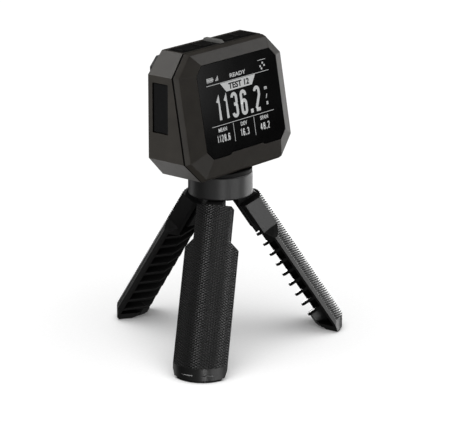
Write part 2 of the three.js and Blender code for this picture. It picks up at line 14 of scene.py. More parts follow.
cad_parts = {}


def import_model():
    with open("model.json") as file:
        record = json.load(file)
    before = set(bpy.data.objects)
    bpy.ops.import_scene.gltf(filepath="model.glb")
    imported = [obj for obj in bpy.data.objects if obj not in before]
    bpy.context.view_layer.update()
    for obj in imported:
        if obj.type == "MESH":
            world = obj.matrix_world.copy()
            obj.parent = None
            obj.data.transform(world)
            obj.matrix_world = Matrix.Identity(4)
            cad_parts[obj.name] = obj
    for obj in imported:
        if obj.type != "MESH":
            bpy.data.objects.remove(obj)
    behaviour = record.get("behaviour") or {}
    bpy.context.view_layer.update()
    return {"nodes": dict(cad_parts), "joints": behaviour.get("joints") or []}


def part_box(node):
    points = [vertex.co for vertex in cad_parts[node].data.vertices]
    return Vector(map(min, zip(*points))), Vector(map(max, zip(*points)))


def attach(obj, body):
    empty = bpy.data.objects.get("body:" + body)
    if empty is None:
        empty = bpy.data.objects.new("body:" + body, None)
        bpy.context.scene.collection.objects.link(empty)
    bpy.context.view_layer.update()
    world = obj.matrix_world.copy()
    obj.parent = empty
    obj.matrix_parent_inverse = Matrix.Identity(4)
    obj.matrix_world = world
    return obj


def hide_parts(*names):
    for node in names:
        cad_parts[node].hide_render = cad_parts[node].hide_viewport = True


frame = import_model()
scene = bpy.context.scene
scene.view_settings.view_transform = "Standard"

MM = 0.001

# ---------------------------------------------------------------- places, from the frame
JOINTS = {joint["name"]: joint for joint in frame["joints"]}


def box_mm(node):
    low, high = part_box(node)
    return low / MM, high / MM


collar_low, collar_high = box_mm("collar")
case_low, case_high = box_mm("rear_housing")
AXIS_Y = (collar_low.y + collar_high.y) / 2
HEAD_Z = case_low.z
HEAD_W = case_high.x - case_low.x
HEAD_H = case_high.z - case_low.z
REAR_Y = case_high.y - AXIS_Y
COLLAR_R = (collar_high.x - collar_low.x) / 2
COLLAR_Z0 = collar_low.z
COLLAR_Z1 = collar_high.z

# ---------------------------------------------------------------- sizes of the head
GAP = 0.3                         # running gap between neighbouring parts
SEAM_Y = -12.8                    # seam between bezel and rear case, at the underside
LEAN = math.atan(0.18)            # backward lean of the display face
SEAM_GROOVE = 0.9
CORNER = 10
WALL = 2.2
TOP_WALL = 3
BEZEL_SIDE = 2.7
BEZEL_DRAFT = 1.25
GLASS_TOP = 6.4
GLASS_THICK = 1.1
GLASS_SHY = 0.1                   # how far the glass lies below the bezel's inner edge
LEDGE = 1.6
# an octagon has a half width, a low and a high edge, and its corners' legs
GLASS = {"half": 29.35, "low": 10.05, "high": 54.9, "corner": 4.3}
CASE = {"half": HEAD_W / 2, "low": 0, "high": HEAD_H, "corner": CORNER}
FACE = {**CASE, "high": HEAD_H / math.cos(LEAN)}
WINDOW = {"half": 32.5, "low": 3.6, "high": 57, "corner": 4.6}
WINDOW_H = 5
TAB_HALF = 13                     # the raised tab below the glass: foot, flat and height
TAB_FLAT = 11.5
TAB_RISE = 0.95
POCKET = {"y0": -0.5, "y1": 9.1, "z0": 22.8, "z1": 47, "depth": 2.6}
PORT = (2.6, 6.1, 30.1, 39.7, 1.6)    # its reach in y and z, and the radius of its corners
APERTURE = (-26, 26, 12, 44, 2)       # the same, in x and z
COVER_OUT = 0.5
COVER_THICK = 1.7
KEYPAD = {"half": 27.6, "y0": -0.6, "y1": 9.6, "thick": 1.2}
BUTTONS = [(-20.5, 9.4), (-8.1, 7.4), (8.1, 7.4), (20.5, 9.4)]    # middle and width of each key
BUTTON_Y0 = 1.2
BUTTON_Y1 = 8.2
BUTTON_PROUD = 0.6
RIB = {"half": 1.3, "y0": -1.4, "y1": 9.9, "height": 1.5}
RIB_SLOT = {"y0": 0.5, "y1": 8.7}
CASE_SCREWS = [(-31.5, 12), (31.5, 12), (-31.5, 48.5), (31.5, 48.5)]    # x and z
BOSS_R = 7
BOSS_TOP = 9.4
THREAD_R = 5.1
THREAD_TOP = 8.1

# ---------------------------------------------------------------- sizes of the tripod
COLLAR_BORE = 14
COLLAR_DECK = 2.2
STUD_HOLE = 3.6
HUB_SCREWS = {"radius": 9.5, "hole": 1.3, "low": 77.5}
LEGS = ("left", "right", "rear")
PIVOT_R = 8.5                     # from the grip's axis to a leg's pin
SPREAD = math.radians(33.5)
SECTOR = math.radians(60)
EDGE_ANGLE = math.radians(53.5)   # where the round outer face ends
SIDE_GAP = 0.35
LEG_R = 16.2                      # the folded legs stand a little proud of the collar
PIN_R = 1.25
EYE_R = 3.2
EYE_HALF = 4
SLOT_HALF = 5.2
SLOT_TOP = 80.9
UPPER_HALF = 8.5
UPPER_IN = -5
LEG_HALF = 14                     # half width below the flare, wider than the sector
UPPER_TOP = -7
FLARE_TOP = -24.6
FLARE_LOW = -29.2
SKIN = 2
LIP_R = 13.6
UPPER_WALL = 1.8
LINK_IN = -5
LINK_END = -24.3
TIP_R = 3.7
TIP_STEP = 0.26
RIB_COUNT = 9
RIB_FIRST = -27.4
RIB_PITCH = 6.5
RIB_THICK = 1.6
RIB_SLOPE = 0.45
RIDGE = -88.2
LEG_BOTTOM = -104
TOE_Z = 1.2
TOE_THICK = 2.2
TOE_TIP_R = 2.9
HEEL_HALF = 2.2
HEEL_Y = -6
FOOT_THICK = 0.9
FOOT_PEG_Y = 47
PEG_R = 1.45
PEG_HOLE_R = 1.8
KNURL_W = 2.3                     # width and height of one diamond of the grip's texture
KNURL_H = 1.3
KNURL_DEPTH = 0.43
PIVOT_Z = JOINTS["left_leg_fold"]["pos_m"][2] / MM


# ---------------------------------------------------------------- solids
def new_piece(name, bm):
    mesh = bpy.data.meshes.new(name)
    bmesh.ops.recalc_face_normals(bm, faces=bm.faces)
    bm.to_mesh(mesh)
    bm.free()
    piece = bpy.data.objects.new(name, mesh)
    scene.collection.objects.link(piece)
    return piece


def loft(name, rings, band=False):
    """A closed skin through rings of equally many points, capped, or closed on itself as a band."""
    bm = bmesh.new()
    loops = [[bm.verts.new(point) for point in ring] for ring in rings]
    pairs = list(zip(loops, loops[1:]))
    if band:
        pairs.append((loops[-1], loops[0]))
    else:
        bm.faces.new(loops[0])
        bm.faces.new(loops[-1])
    count = len(rings[0])
    for low, high in pairs:
        for i in range(count):
            j = (i + 1) % count
            bm.faces.new((low[i], low[j], high[j], high[i]))
    return new_piece(name, bm)


def prism(name, outline, z0, z1):
    return loft(name, [[(x, y, z) for x, y in outline] for z in (z0, z1)])


def prism_along_y(name, outline, y0, y1):
    return loft(name, [[(x, y, z) for x, z in outline] for y in (y0, y1)])


def prism_along_x(name, outline, x0, x1):
    return loft(name, [[(x, y, z) for y, z in outline] for x in (x0, x1)])


def box(name, x0, x1, y0, y1, z0, z1):
    return prism(name, [(x0, y0), (x1, y0), (x1, y1), (x0, y1)], z0, z1)


def circle(radius, z, sides):
    turns = [2 * math.pi * i / sides for i in range(sides)]
    return [(radius * math.cos(a), radius * math.sin(a), z) for a in turns]


def turned(name, profile, sides=96, hollow=False):
    """A turned solid about Z through (radius, height) points, closed on itself if it is hollow."""
    return loft(name, [circle(r, z, sides) for r, z in profile], band=hollow)


def rod(name, radius, z0, z1, sides=32):
    return turned(name, [(radius, z0), (radius, z1)], sides)


def moved(piece, matrix):
    piece.data.transform(matrix)
    return piece


def about_z(degrees):
    return Matrix.Rotation(math.radians(degrees), 4, "Z")


ALONG_Y = Matrix.Rotation(-math.pi / 2, 4, "X")   # turns +Z to +Y
ALONG_X = Matrix.Rotation(math.pi / 2, 4, "Y")    # turns +Z to +X


def bake(piece):
    """Applies every modifier of a piece."""
    graph = bpy.context.evaluated_depsgraph_get()
    mesh = bpy.data.meshes.new_from_object(piece.evaluated_get(graph))
    old = piece.data
    piece.modifiers.clear()
    piece.data = mesh
    bpy.data.meshes.remove(old)
    return piece


def combine(piece, tools, operation):
    for tool in tools:
        modifier = piece.modifiers.new("combine", "BOOLEAN")
        modifier.object = tool
        modifier.operation = operation
        modifier.solver = "EXACT"
    bake(piece)
    for tool in tools:
        bpy.data.meshes.remove(tool.data)
    return piece


def cut(piece, *tools):
    return combine(piece, tools, "DIFFERENCE")


def join(piece, *tools):
    return combine(piece, tools, "UNION")


def keep(piece, *tools):
    return combine(piece, tools, "INTERSECT")


def clean(bm):
    bmesh.ops.remove_doubles(bm, verts=bm.verts, dist=1e-3)
    bmesh.ops.dissolve_limit(bm, angle_limit=math.radians(0.6), verts=bm.verts, edges=bm.edges)


def soften(piece, width, angle=25, segments=3, share=None):
    """Rounds each edge that turns by more than an angle. share(place) scales the width there."""
    bm = bmesh.new()
    bm.from_mesh(piece.data)
    clean(bm)
    weight = bm.edges.layers.float.new("bevel_weight_edge")
    for edge in bm.edges:
        if edge.is_manifold and edge.calc_face_angle() > math.radians(angle):
            middle = (edge.verts[0].co + edge.verts[1].co) / 2
            edge[weight] = share(middle) if share else 1
    bm.to_mesh(piece.data)
    bm.free()
    modifier = piece.modifiers.new("soften", "BEVEL")
    modifier.limit_method = "WEIGHT"
    modifier.width = width
    modifier.segments = segments
    return bake(piece)


# ---------------------------------------------------------------- outlines
def octagon(shape, inset=0, rise=0):
    """An octagon on its low edge, from that edge's left end. The low edge's middle can rise."""
    half = shape["half"] - inset
    low = shape["low"] + inset
    high = shape["high"] - inset
    corner = shape["corner"] - inset * (2 - math.sqrt(2))
    return [
        (-half + corner, low), (-TAB_HALF, low), (-TAB_FLAT, low + rise), (TAB_FLAT, low + rise),
        (TAB_HALF, low), (half - corner, low), (half, low + corner), (half, high - corner),
        (half - corner, high), (-half + corner, high), (-half, high - corner), (-half, low + corner),
    ]


def lift(outline, height):
    return [(x, y, height) for x, y in outline]


def rounded(x0, x1, y0, y1, radius, steps=4):
    """A rectangle with round corners, counter-clockwise."""
    points = []
    corners = [(x1 - radius, y1 - radius), (x0 + radius, y1 - radius)]
    corners += [(x0 + radius, y0 + radius), (x1 - radius, y0 + radius)]
    for quarter, (x, y) in enumerate(corners):
        for i in range(steps + 1):
            turn = math.pi / 2 * (quarter + i / steps)
            points.append((x + radius * math.cos(turn), y + radius * math.sin(turn)))
    return points


def polar(radius, angle):
    """A point of the grip's section in a leg's frame, whose origin is the leg's pin."""
    return radius * math.sin(angle), radius * math.cos(angle) - PIVOT_R


def arc(radius, start, end, steps):
    return [polar(radius, start + (end - start) * i / steps) for i in range(steps + 1)]


def side_point(side, radius, inset):
    """A point at a radius along one side plane of a leg's sector, moved in from that plane."""
    x = radius * math.sin(SECTOR) - inset * math.cos(SECTOR)
    y = radius * math.cos(SECTOR) + inset * math.sin(SECTOR)
    return side * x, y - PIVOT_R


# ---------------------------------------------------------------- frames
AXIS = Matrix.Translation((0, AXIS_Y, 0))
HEAD = Matrix.Translation((0, AXIS_Y, HEAD_Z))
FACE_FRAME = Matrix.Translation((0, AXIS_Y + SEAM_Y, HEAD_Z)) @ Matrix.Rotation(math.pi / 2 - LEAN, 4, "X")
HEAD_TO_FACE = FACE_FRAME.inverted() @ HEAD
FACE_TO_HEAD = HEAD_TO_FACE.inverted()


def sector_frame(leg):
    """The frame of a leg's third of the grip: X along its pin, +Y outward, on the grip's axis."""
    pin = Vector(JOINTS[f"{leg}_leg_fold"]["pos_m"]) / MM
    outward = math.atan2(pin.y - AXIS_Y, pin.x)
    return AXIS @ Matrix.Rotation(outward - math.pi / 2, 4, "Z")


def leg_frame(leg):
    return (
        sector_frame(leg)
        @ Matrix.Translation((0, PIVOT_R, PIVOT_Z))
        @ Matrix.Rotation(SPREAD, 4, "X")
    )


# ---------------------------------------------------------------- materials
class Recipe:
    """A material's node tree around one Principled shader, patterned in the piece's own space."""

    def __init__(self, name, roughness, specular=0.5, metallic=0.0):
        self.material = bpy.data.materials.new(name)
        self.material.use_nodes = True
        self.tree = self.material.node_tree
        self.shader = self.tree.nodes["Principled BSDF"]
        self.shader.inputs["Roughness"].default_value = roughness
        self.shader.inputs["Specular IOR Level"].default_value = specular
        self.shader.inputs["Metallic"].default_value = metallic
        self.place = self.node("ShaderNodeTexCoord").outputs["Object"]
        self.relief = None

    def node(self, kind):
        return self.tree.nodes.new(kind)

    def link(self, source, target):
        self.tree.links.new(source, target)

    def noise(self, size_mm, detail=2.0, stretch=None):
        """Noise whose features are about size_mm wide, drawn out along an axis if stretched."""
        place = self.place
        if stretch:
            mapping = self.node("ShaderNodeMapping")
            mapping.inputs["Scale"].default_value = stretch
            self.link(self.place, mapping.inputs["Vector"])
            place = mapping.outputs["Vector"]
        texture = self.node("ShaderNodeTexNoise")
        texture.inputs["Scale"].default_value = 1 / (size_mm * MM)
        texture.inputs["Detail"].default_value = detail
        self.link(place, texture.inputs["Vector"])
        return texture.outputs["Fac"]

    def spread(self, value, low, high, start=0.3, end=0.7):
        """Maps a noise value to a range of numbers."""
        node = self.node("ShaderNodeMapRange")
        node.inputs["From Min"].default_value = start
        node.inputs["From Max"].default_value = end
        node.inputs["To Min"].default_value = low
        node.inputs["To Max"].default_value = high
        self.link(value, node.inputs["Value"])
        return node.outputs["Result"]

    def color(self, low, high, value):
        node = self.node("ShaderNodeMix")
        node.data_type = "RGBA"
        node.inputs["A"].default_value = (*low, 1)
        node.inputs["B"].default_value = (*high, 1)
        self.link(value, node.inputs["Factor"])
        self.link(node.outputs["Result"], self.shader.inputs["Base Color"])
        return node.outputs["Result"]

    def roughness(self, value):
        self.link(value, self.shader.inputs["Roughness"])

    def bump(self, height, depth_mm):
        """Adds relief of a depth on top of what is there."""
        node = self.node("ShaderNodeBump")
        node.inputs["Distance"].default_value = depth_mm * MM
        self.link(height, node.inputs["Height"])
        if self.relief:
            self.link(self.relief, node.inputs["Normal"])
        self.relief = node.outputs["Normal"]
        self.link(self.relief, self.shader.inputs["Normal"])


def tint(color, factor):
    return tuple(min(1.0, channel * factor) for channel in color)


def moulded(name, color, roughness, specular=0.5, grain_mm=0.28, depth_mm=0.012, contrast=0.12):
    """Moulded plastic: an even spark-eroded grain, faint flow clouds and a slightly uneven gloss."""
    recipe = Recipe(name, roughness, specular)
    clouds = recipe.noise(9, 3)
    grain = recipe.noise(grain_mm, 3)
    recipe.color(tint(color, 1 - contrast), tint(color, 1 + contrast), recipe.spread(clouds, 0, 1))
    recipe.roughness(recipe.spread(grain, roughness - 0.05, roughness + 0.07))
    recipe.bump(grain, depth_mm)
    return recipe.material


def knurl_with_painted_light(name, color, roughness):
    """Moulded plastic with painted light on its relief: painted shade darkens the hollows and a painted
    highlight makes the peaks paler.
    """
    recipe = Recipe(name, roughness, specular=0.5)
    # Painted light: how pointed the surface is sets painted shade in the hollows and a painted highlight on
    # the peaks.
    relief_for_painted_light = recipe.node("ShaderNodeNewGeometry").outputs["Pointiness"]
    edges = recipe.spread(relief_for_painted_light, 0, 1, 0.44, 0.56)
    recipe.color(tint(color, 0.35), tint(color, 1.9), edges)
    grain = recipe.noise(0.3, 3)
    recipe.roughness(recipe.spread(grain, roughness - 0.05, roughness + 0.07))
    recipe.bump(grain, 0.008)
    return recipe.material


def brushed(name, color, roughness, stretch):
    """Machined metal with fine tool marks along one axis."""
    recipe = Recipe(name, roughness, metallic=1.0)
    marks = recipe.noise(0.25, 4, stretch)
    recipe.color(tint(color, 0.8), tint(color, 1.1), recipe.spread(marks, 0, 1))
    recipe.roughness(recipe.spread(marks, roughness - 0.08, roughness + 0.12))
    recipe.bump(marks, 0.006)
    return recipe.material


def circuit_board(name):
    """Green solder mask with paler copper areas and small pads."""
    recipe = Recipe(name, 0.4)
    pads = recipe.node("ShaderNodeTexVoronoi")
    pads.feature = "F1"
    pads.inputs["Scale"].default_value = 1 / (2.2 * MM)
    recipe.link(recipe.place, pads.inputs["Vector"])
    spots = recipe.spread(pads.outputs["Distance"], 1, 0, 0.16, 0.2)
    recipe.color((0.012, 0.06, 0.028), (0.45, 0.36, 0.16), spots)
    recipe.bump(spots, 0.03)
    return recipe.material


def wrapped_cell(name):
    """Dark blue shrink film with soft wrinkles."""
    recipe = Recipe(name, 0.3)
    wrinkles = recipe.noise(3.5, 4, (1, 1, 0.35))
    recipe.color((0.018, 0.028, 0.06), (0.035, 0.05, 0.1), recipe.spread(wrinkles, 0, 1))
    recipe.bump(wrinkles, 0.2)
    return recipe.material


def cover_glass(name):
    """Black-printed cover glass with a fine anti-glare surface."""
    recipe = Recipe(name, 0.14, specular=0.5)
    haze = recipe.noise(14, 2)
    recipe.color((0.0008, 0.0009, 0.001), (0.0014, 0.0015, 0.0017), recipe.spread(haze, 0, 1))
    recipe.roughness(recipe.spread(haze, 0.12, 0.16))
    return recipe.material


def lit_pixels(name, color, strength):
    """The display's own light, with a trace of its pixel grid."""
    recipe = Recipe(name, 0.5, specular=0.2)
    grid = recipe.noise(0.2, 1)
    shade = recipe.color(tint(color, 0.9), tint(color, 1.05), recipe.spread(grid, 0, 1))
    recipe.link(shade, recipe.shader.inputs["Emission Color"])
    recipe.shader.inputs["Emission Strength"].default_value = strength
    return recipe.material


TAUPE = (0.098, 0.088, 0.075)
MATERIALS = {
    "case": moulded("case_plastic", TAUPE, 0.43, 0.5),
    "keypad": moulded("keypad_plastic", (0.0075, 0.0068, 0.0062), 0.55, 0.3),
    "rubber": moulded("matte_rubber", (0.008, 0.0078, 0.0076), 0.7, 0.25, 0.2, 0.01),
    "button": moulded("button_rubber", (0.0095, 0.0088, 0.008), 0.62, 0.3, 0.2, 0.008),
    "flap": moulded("flap_rubber", (0.0062, 0.0064, 0.0072), 0.42, 0.35, 0.35, 0.006),
    "radome": moulded("radome_plastic", (0.02, 0.0185, 0.017), 0.45, 0.4),
    "sight": moulded("sight_plastic", (0.42, 0.42, 0.4), 0.42, 0.5, 0.3, 0.006, 0.06),
    "collar": moulded("collar_plastic", (0.022, 0.022, 0.022), 0.42, 0.5, 0.24, 0.008),
    "hub": moulded("hub_plastic", (0.01, 0.01, 0.01), 0.6, 0.3),
    # the legs' knurl carries painted shade in its hollows and a painted highlight on its peaks
    "leg": knurl_with_painted_light("leg_plastic", (0.0075, 0.0075, 0.0075), 0.33),
    "steel": brushed("machined_steel", (0.46, 0.46, 0.47), 0.34, (1, 1, 12)),
    "brass": brushed("machined_brass", (0.62, 0.47, 0.2), 0.32, (1, 1, 12)),
    "foil": brushed("shield_can", (0.6, 0.61, 0.62), 0.3, (12, 1, 1)),
    "board": circuit_board("circuit_board"),
    "cell": wrapped_cell("cell_wrap"),
    "glass": cover_glass("cover_glass"),
    "panel": moulded("display_module", (0.012, 0.012, 0.013), 0.3, 0.5, 0.5, 0.002),
    "lit": lit_pixels("readout_pixels", (0.74, 0.75, 0.75), 0.42),
    "unlit": moulded("readout_ground", (0.003, 0.003, 0.0032), 0.3, 0.3, 0.3, 0.001),
}


PLACED = {"tripod": [], "head": []}    # the pieces by the lights that they get


def place(piece, matrix, body, slot, material, *nodes, sharp=38):
    """Finishes a piece: scales it to metres, gives it its material and lets it ride on its body."""
    piece.data.transform(Matrix.Scale(MM, 4) @ matrix)
    piece.data.materials.clear()
    piece.data.materials.append(MATERIALS[material])
    for polygon in piece.data.polygons:
        polygon.use_smooth = True
    piece.data.set_sharp_from_angle(angle=math.radians(sharp))
    normals = piece.modifiers.new("normals", "WEIGHTED_NORMAL")
    normals.keep_sharp = True
    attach(piece, body)
    on_tripod = body == "tripod_hub" or body.endswith("_leg")
    PLACED["tripod" if on_tripod else "head"].append(piece)
    if nodes:
        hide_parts(*nodes)


# ---------------------------------------------------------------- display side
def bezel():
    ring = loft("bezel_shell", [
        lift(octagon(FACE), 0),
        lift(octagon(FACE, BEZEL_DRAFT), BEZEL_SIDE),
        lift(octagon(GLASS, 0, TAB_RISE), GLASS_TOP),
        lift(octagon(GLASS, 0, TAB_RISE), GLASS_TOP - GLASS_THICK - GAP),
        lift(octagon(GLASS, LEDGE, TAB_RISE), GLASS_TOP - GLASS_THICK - GAP),
        lift(octagon(GLASS, LEDGE, TAB_RISE), GLASS_TOP - GLASS_THICK - GAP - LEDGE),
        lift(octagon(FACE, BEZEL_DRAFT + WALL), BEZEL_SIDE - LEDGE),
        lift(octagon(FACE, WALL), 0),
    ], band=True)

    def share(point):
        if point.z > GLASS_TOP - 0.1:
            return 0.5
        return 1 if point.z > BEZEL_SIDE - 0.1 or point.z < 0.1 else 0.4

    soften(ring, 0.3, 12, 3, share)
    place(ring, FACE_FRAME, "head", "bezel", "case", "front_bezel")


def cover_lens():
    outline = octagon(GLASS, GAP / 2, TAB_RISE)
    lens = prism("cover_lens", outline, GLASS_TOP - GLASS_THICK, GLASS_TOP - GLASS_SHY)
    soften(lens, 0.15, 25, 2)
    place(lens, FACE_FRAME, "head", "display_glass", "glass", "display_glass")


def gasket():
    ring = loft("seam_ring", [
        lift(octagon(FACE, 0.6), -SEAM_GROOVE + 0.05),
        lift(octagon(FACE, 0.6), -0.05),
        lift(octagon(FACE, WALL), -0.05),
        lift(octagon(FACE, WALL), -SEAM_GROOVE + 0.05),
    ], band=True)
    soften(ring, 0.12, 40, 2)
    place(ring, FACE_FRAME, "head", "gasket", "rubber", "seam_gasket")


# ---------------------------------------------------------------- readout
LINE = 0.24                       # width of the readout's rules
INK_Z = GLASS_TOP - GLASS_SHY - 0.02
INK_THICK = 0.06
BANNER_INK = 0.03                 # how far the banner's dark letters lie above it
DIGIT_GAP = 0.42                  # in widths of a digit
NARROW = {"1": 0.72, ".": 0.3}    # the same, for the narrow characters
WAIST = 0.53                      # where a digit's middle is, in heights of the digit
RULES = {"x0": -23.5, "x1": 22.8, "high": 44.48, "low": 24.98}
DIVIDERS = {"x": (-8.1, 7.2), "y0": 15.7, "y1": 24.6}
UNIT = [("m", 17.6, 19.6, 35.8, 37.2), ("/", 18.0, 19.3, 31.6, 33.6), ("s", 17.9, 19.4, 28.4, 30.0)]
CAPTIONS = [("MEAN", -19.2, -13.1), ("DEV", -2.8, 1.9), ("SPAN", 11.8, 17.7)]
FIGURES = [("1128.6", -20.8, -11.4), ("16.3", -3.6, 2.7), ("48.2", 11.2, 18.2)]


def slab(outline):
    """A thin shape on the glass."""
    return prism("ink", outline, INK_Z, INK_Z + INK_THICK)


def bar(x0, x1, y0, y1):
    return slab([(x0, y0), (x1, y0), (x1, y1), (x0, y1)])


def lettering(text, x0, x1, y0, y1, weight, level=0.0):
    """A line of characters stretched to fill a box of the display."""
    curve = bpy.data.curves.new("ink", "FONT")
    curve.body = text
    curve.offset = weight
    curve.resolution_u = 4
    letters = bpy.data.objects.new("ink", curve)
    scene.collection.objects.link(letters)
    graph = bpy.context.evaluated_depsgraph_get()
    mesh = bpy.data.meshes.new_from_object(letters.evaluated_get(graph))
    bpy.data.objects.remove(letters)
    low = [min(vertex.co[i] for vertex in mesh.vertices) for i in range(2)]
    high = [max(vertex.co[i] for vertex in mesh.vertices) for i in range(2)]
    scale = Matrix.Diagonal(((x1 - x0) / (high[0] - low[0]), (y1 - y0) / (high[1] - low[1]), 1, 1))
    start = Matrix.Translation((-low[0], -low[1], 0))
    mesh.transform(Matrix.Translation((x0, y0, INK_Z + level)) @ scale @ start)
    bm = bmesh.new()
    bm.from_mesh(mesh)
    bmesh.ops.remove_doubles(bm, verts=bm.verts, dist=1e-4)
    walls = bmesh.ops.extrude_face_region(bm, geom=bm.faces[:])
    raised = [item for item in walls["geom"] if isinstance(item, bmesh.types.BMVert)]
    bmesh.ops.translate(bm, verts=raised, vec=(0, 0, INK_THICK))
    bpy.data.meshes.remove(mesh)
    return new_piece("ink", bm)


def stroke(points, width):
    """A pen stroke of constant width along points of the display."""
    places = [Vector(point) for point in points]
    rings = []
    for i, here in enumerate(places):
        before = (here - places[i - 1]).normalized() if i else None
        after = (places[i + 1] - here).normalized() if i + 1 < len(places) else None
        before = before or after
        after = after or before
        along = (before + after).normalized()
        across = Vector((-along.y, along.x)) * width / 2 / max(0.5, along.dot(after))
        left = here + across
        right = here - across
        top = INK_Z + INK_THICK
        rings.append([(*left, INK_Z), (*right, INK_Z), (*right, top), (*left, top)])
    return loft("ink", rings)


def bend(y, radius, start, end, steps=10):
    """Half a turn across a digit's full width, about a height, as unit points."""
    turns = [math.radians(start + (end - start) * i / steps) for i in range(steps + 1)]
    return [(0.5 + 0.5 * math.cos(a), y + radius * math.sin(a)) for a in turns]


def digit_strokes(digit, q):
    """The strokes of a digit in a unit box. q is the height of its round ends."""
    top = bend(1 - q, q, 180, 0)
    bottom = bend(q, q, 0, -180)
    crown = bend(1 - q, q, 0, 180)
    bowl = bend(q, q, 180, 360)
    small = 0.94 * q
    return {
        "1": [[(0.1, 0.8), (0.75, 1.0), (0.75, 0)]],
        "2": [top + [(1, 0.66), (0.06, 0.06)], [(0, 0), (1, 0)]],
        "3": [top + [(1, WAIST + 0.1), (0.84, WAIST), (0.35, WAIST)],
              [(0.84, WAIST), (1, WAIST - 0.1)] + bottom],
        "4": [[(0.76, 0), (0.76, 1)], [(0.76, 1), (0.02, 0.29)], [(-0.1, 0.27), (1.08, 0.27)]],
        "6": [[(1, 0.8)] + crown + bowl + bend(WAIST - q + 0.06, q, 0, 180)],
        "8": [bend(1 - q, small, 0, 180) + bend(WAIST + small, small, 180, 360) + [(1, 1 - q)],
              bend(WAIST - q, q, 0, 180) + bowl + [(1, WAIST - q)]],
    }[digit]


def numeral(text, x0, x1, y0, y1, width):
    """A number in condensed digits that fills a box of the display."""
    total = sum(NARROW.get(char, 1) for char in text) + DIGIT_GAP * (len(text) - 1)
    unit = (x1 - x0) / total
    height = y1 - y0 - width
    q = 0.5 * (unit - width) / height
    dot = 1.15 * width
    parts = []
    x = x0
    for char in text:
        share = NARROW.get(char, 1)
        if char == ".":
            parts.append(bar(x, x + dot, y0, y0 + dot))
        else:
            left = x + width / 2
            low = y0 + width / 2
            for points in digit_strokes(char, q):
                places = [(left + u * (unit * share - width), low + v * height) for u, v in points]
                parts.append(stroke(places, width))
        x += (share + DIGIT_GAP) * unit
    return parts


def merged(name, parts):
    """One piece that holds several separate solids."""
    bm = bmesh.new()
    for part in parts:
        bm.from_mesh(part.data)
        bpy.data.meshes.remove(part.data)
    return new_piece(name, bm)


def battery_icon(x, y):
    shell = [
        bar(x, x + 4.4, y, y + 0.25), bar(x, x + 4.4, y + 1.75, y + 2),
        bar(x, x + 0.25, y + 0.25, y + 1.75), bar(x + 4.15, x + 4.4, y + 0.25, y + 1.75),
        bar(x + 4.4, x + 4.8, y + 0.6, y + 1.4),
    ]
    return shell + [bar(x + 0.5 + 0.9 * i, x + 1.15 + 0.9 * i, y + 0.45, y + 1.55) for i in range(4)]


def signal_icon(x, y):
    return [bar(x + 0.55 * i, x + 0.55 * i + 0.35, y, y + 0.6 + 0.55 * i) for i in range(4)]


def memory_icon(x, y):
    squares = [(0, 1.2), (1.9, 2.6), (0.8, 0), (3, 1.3)]
    return [bar(x + dx, x + dx + 1, y + dy, y + dy + 0.9) for dx, dy in squares]


def readout():
    lit = [
        bar(RULES["x0"], RULES["x1"], RULES["high"], RULES["high"] + LINE),
        bar(RULES["x0"] + 0.2, RULES["x1"] - 0.2, RULES["low"], RULES["low"] + LINE),
    ]
    lit += [bar(x - LINE / 2, x + LINE / 2, DIVIDERS["y0"], DIVIDERS["y1"]) for x in DIVIDERS["x"]]
    lit.append(slab([(-9.9, 39.9), (9.1, 39.9), (12.3, 44.3), (-13.6, 44.3)]))
    lit += numeral("1136.2", -18.4, 14.1, 26.6, 38.8, 1.65)
    lit += [lettering(letter, x0, x1, y0, y1, 0.03) for letter, x0, x1, y0, y1 in UNIT]
    lit.append(lettering("READY", -6, 5.6, 45.9, 47.8, 0.02))
    lit += [lettering(text, x0, x1, 22.0, 23.9, 0.02) for text, x0, x1 in CAPTIONS]
    for text, x0, x1 in FIGURES:
        lit += numeral(text, x0, x1, 17.1, 20.6, 0.56)
    lit.append(bar(15.5, 21.2, 50.1, 50.1 + LINE))
    lit += battery_icon(-22.8, 46.1)
    lit += signal_icon(-16.6, 46.1)
    lit += memory_icon(16.4, 45.6)
    place(merged("readout", lit), FACE_FRAME, "head", "display", "lit")
    dark = [lettering("TEST 12", -7.9, 7.3, 40.6, 43.6, 0.035, BANNER_INK)]
    place(merged("readout_banner_text", dark), FACE_FRAME, "head", "display", "unlit")


